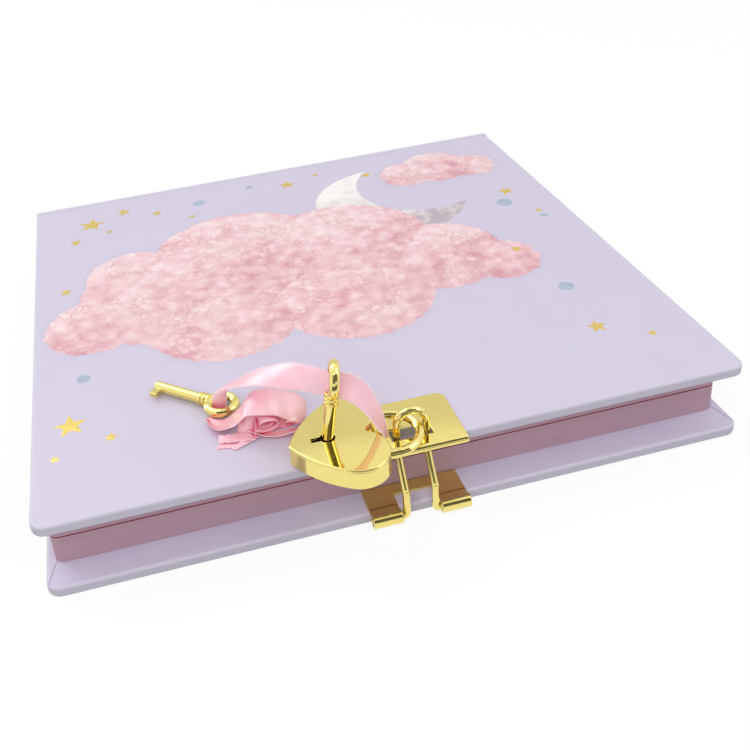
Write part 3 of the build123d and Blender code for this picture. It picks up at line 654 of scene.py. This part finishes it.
def rolled(name, middle, radius, inner, turns, start, depth, flat):
    """A strip rolled up with its open end to the front: the edge lines are two spirals."""
    front, back = [], []
    steps = int(turns * ROLL_STEPS)
    for i in range(steps + 1):
        share = i / steps
        angle = math.radians(start) + 2 * math.pi * turns * share
        reach = radius + (inner - radius) * share ** ROLL_EASE
        side = Vector((reach * math.cos(angle), 0.0, 0.0)) + ROLL_RISE * (flat * reach * math.sin(angle))
        front.append(Vector(middle) + side + ROLL_BACK * (ROLL_PULL * share))
        back.append(Vector(middle) + side * ROLL_TAPER + ROLL_BACK * depth)
    ribbon_strip(name, back, front, "ribbon_bunch", count=110, picot=False)


rolled(
    "ribbon_front_roll", (-31.8, -71.9, 25.5), radius=3.6, inner=1.5, turns=1.4, start=205, depth=4.6,
    flat=0.85)
rolled(
    "ribbon_side_roll", (-26.0, -71.0, 24.0), radius=1.9, inner=0.8, turns=1.3, start=30, depth=3.4,
    flat=0.8)

ribbon_strip(
    "ribbon_tail_fold",
    ((-35.9, -69.6, 23.3), (-38.4, -69.1, 23.2), (-41.0, -68.6, 23.1), (-43.8, -67.8, 22.9)),
    ((-35.6, -72.2, 22.9), (-38.3, -71.7, 22.8), (-41.3, -71.0, 22.7), (-44.4, -70.3, 22.6)),
    "ribbon_tails", count=30, bow=(-0.1, -0.1))
ribbon_strip(
    "ribbon_long_tail",
    ((-39.4, -67.6, 22.4), (-43.0, -69.2, 22.3), (-44.3, -70.4, 22.3), (-45.1, -71.6, 22.2)),
    ((-35.4, -71.2, 22.4), (-38.6, -71.6, 22.3), (-40.2, -72.2, 22.3), (-41.2, -72.6, 22.2)),
    "ribbon_tails", count=30, bow=(-0.1, -0.1))
ribbon_strip(
    "ribbon_short_tail",
    ((-34.9, -69.9, 22.9), (-37.6, -71.1, 22.8), (-39.7, -72.1, 22.7), (-41.5, -72.9, 22.5)),
    ((-34.4, -71.3, 22.6), (-37.1, -72.4, 22.5), (-39.2, -73.2, 22.4), (-40.9, -73.7, 22.3)),
    "ribbon_tails", count=30, bow=(-0.1, -0.1))

# Picot edge: a small knot of thread at every pitch along both edges of the ribbon
PICOT = picot_thread()
picot_names = {
    OVER_CLASP_BEND: "over_clasp_picot_edges",
    ARCH_BEND: "arch_picot_edges",
    None: "bunch_picot_edges",
}
for bend, places in beads.items():
    bead_build = bmesh.new()
    for place in places:
        bead = bmesh.ops.create_icosphere(bead_build, subdivisions=1, radius=BEAD_RADIUS)
        for vertex in bead["verts"]:
            vertex.co = place + vertex.co
    bead_name = picot_names[bend]
    add_object(bead_name, as_mesh(bead_name, bead_build), PICOT, "padlock", bend)


# Foil stars stamped on the cover: x, y and size in millimetres, and turn in degrees
STARS = (
    (-70, 66, 5.0, 8), (-58, 72, 3.0, 30), (-46, 66, 2.2, 12), (-76, 54, 2.4, 50), (-64, 58, 1.6, 20),
    (-34, 58, 1.5, 66), (4, 70, 3.4, 18), (16, 74, 1.6, 40), (34, 66, 2.4, 5), (76, 32, 3.2, 25),
    (80, 14, 1.6, 12), (62, -8, 2.2, 44), (-80, 20, 2.2, 15), (-80, -50, 4.6, 22), (-70, -58, 2.0, 5),
    (-84, -62, 1.5, 33), (64, -56, 3.0, 14), (76, -64, 1.6, 38))
STAR_CORNERS = 10
STAR_WAIST = 0.42
FOIL_LEVEL = 22.02 * MM
FOIL_RISE = 0.02 * MM


def star(build, x, y, size, spin):
    rim = []
    for i in range(STAR_CORNERS):
        reach = size if i % 2 == 0 else size * STAR_WAIST
        angle = math.radians(spin + 360 / STAR_CORNERS * i)
        corner = (x + reach * math.cos(angle)) * MM, (y + reach * math.sin(angle)) * MM, FOIL_LEVEL
        rim.append(build.verts.new(corner))
    middle = build.verts.new((x * MM, y * MM, FOIL_LEVEL + FOIL_RISE))
    for i in range(STAR_CORNERS):
        build.faces.new((rim[i], rim[(i + 1) % STAR_CORNERS], middle))


foil_build = bmesh.new()
for x, y, size, spin in STARS:
    star(foil_build, x, y, size, spin)
add_object("foil_stars", as_mesh("foil_stars", foil_build), foil(), "front_cover", smooth=False)


# World: white to the camera and to mirrors, and a softer light on the rest
AMBIENT = 0.42
WHITE = (1, 1, 1, 1)


def seen_directly(tree):
    """One for rays from the camera, and for mirror and see-through rays."""
    path = tree.nodes.new("ShaderNodeLightPath")
    seen = path.outputs["Is Camera Ray"]
    for ray in ("Is Glossy Ray", "Is Transmission Ray"):
        either = tree.nodes.new("ShaderNodeMath")
        either.operation = "MAXIMUM"
        tree.links.new(seen, either.inputs[0])
        tree.links.new(path.outputs[ray], either.inputs[1])
        seen = either.outputs[0]
    return seen


world = bpy.data.worlds.new("world")
world.use_nodes = True
sky = world.node_tree
ambient = sky.nodes["Background"]
ambient.inputs["Color"].default_value = WHITE
ambient.inputs["Strength"].default_value = AMBIENT
backdrop = sky.nodes.new("ShaderNodeBackground")
backdrop.inputs["Color"].default_value = WHITE
choose = sky.nodes.new("ShaderNodeMixShader")
sky.links.new(seen_directly(sky), choose.inputs[0])
sky.links.new(ambient.outputs[0], choose.inputs[1])
sky.links.new(backdrop.outputs[0], choose.inputs[2])
sky.links.new(choose.outputs[0], sky.nodes["World Output"].inputs["Surface"])
scene.world = world


# Floor, lifted to the backdrop's white
FLOOR_GREY = (0.6, 0.6, 0.6, 1)
FLOOR_GLOW = 1.12
FLOOR_LIFT = 0.78


def card_mesh(name, width, height):
    """A flat rectangle."""
    build = bmesh.new()
    bmesh.ops.create_grid(build, x_segments=1, y_segments=1, size=0.5)
    bmesh.ops.scale(build, vec=(width, height, 1.0), verts=build.verts)
    return as_mesh(name, build)


floor_mesh = card_mesh("floor", 6.0, 6.0)
floor = bpy.data.objects.new("floor", floor_mesh)
scene.collection.objects.link(floor)
floor_graph = Graph("floor")
floor_graph.finish(base_color=FLOOR_GREY, roughness=0.9)
floor_glow = floor_graph.node("Emission")
floor_glow.inputs["Strength"].default_value = FLOOR_GLOW
floor_blend = floor_graph.node("MixShader")
floor_lift = floor_graph.math("MULTIPLY", seen_directly(floor_graph.tree), FLOOR_LIFT)
floor_graph.put(floor_blend.inputs[0], floor_lift)
floor_graph.put(floor_blend.inputs[1], floor_graph.shader.outputs[0])
floor_graph.put(floor_blend.inputs[2], floor_glow.outputs[0])
floor_graph.put(floor_graph.output.inputs["Surface"], floor_blend.outputs[0])
floor_mesh.materials.append(floor_graph.material)


# Lamps
def area_light(name, place, target, size, watts):
    data = bpy.data.lights.new(name, "AREA")
    data.shape = "DISK"
    data.size = size
    data.energy = watts
    lamp = bpy.data.objects.new(name, data)
    lamp.location = place
    lamp.rotation_euler = (Vector(target) - Vector(place)).to_track_quat("-Z", "Y").to_euler()
    scene.collection.objects.link(lamp)


area_light("top_light", (-0.38, 0.42, 0.78), (0.0, 0.0, 0.0), size=0.7, watts=2.2)
area_light("front_fill", (-0.30, -0.70, 0.70), (-0.02, -0.05, 0.02), size=0.8, watts=4.1)
area_light("sheen_light", (-0.66, 0.60, 0.28), (-0.03, -0.07, 0.04), size=0.35, watts=1.2)
area_light("right_fill", (0.60, -0.35, 0.70), (0.0, -0.05, 0.02), size=0.8, watts=2.3)


# Cards for the mirrors: painted reflections
def reflector(name, place, width, height, tone, tilt):
    """A glowing card that only mirrors see, a painted reflection in polished metal, like the cards a studio
    hangs around it.
    """
    mesh = card_mesh(name, width, height)
    graph = Graph(name)
    glow = graph.node("Emission")
    glow.inputs["Color"].default_value = (tone, tone, tone, 1.0)
    graph.put(graph.output.inputs["Surface"], glow.outputs[0])
    mesh.materials.append(graph.material)
    card = bpy.data.objects.new(name, mesh)
    card.matrix_world = Matrix.Translation(place) @ Matrix.Rotation(math.radians(tilt), 4, "X")
    for ray in ("camera", "diffuse", "shadow", "transmission", "volume_scatter"):
        setattr(card, "visible_" + ray, False)
    scene.collection.objects.link(card)


# Painted reflection of shade: a dark card on the floor in front of the book, which the metal mirrors in
# place of the white floor
reflector("front_card", (0.0, -0.35, 0.002), width=1.2, height=0.40, tone=0.12, tilt=0)
reflector("back_card", (0.0, 1.5, 0.7), width=3.0, height=1.4, tone=0.78, tilt=90)
reflector("upper_card", (0.0, -0.60, 0.48), width=1.1, height=0.66, tone=0.12, tilt=52)
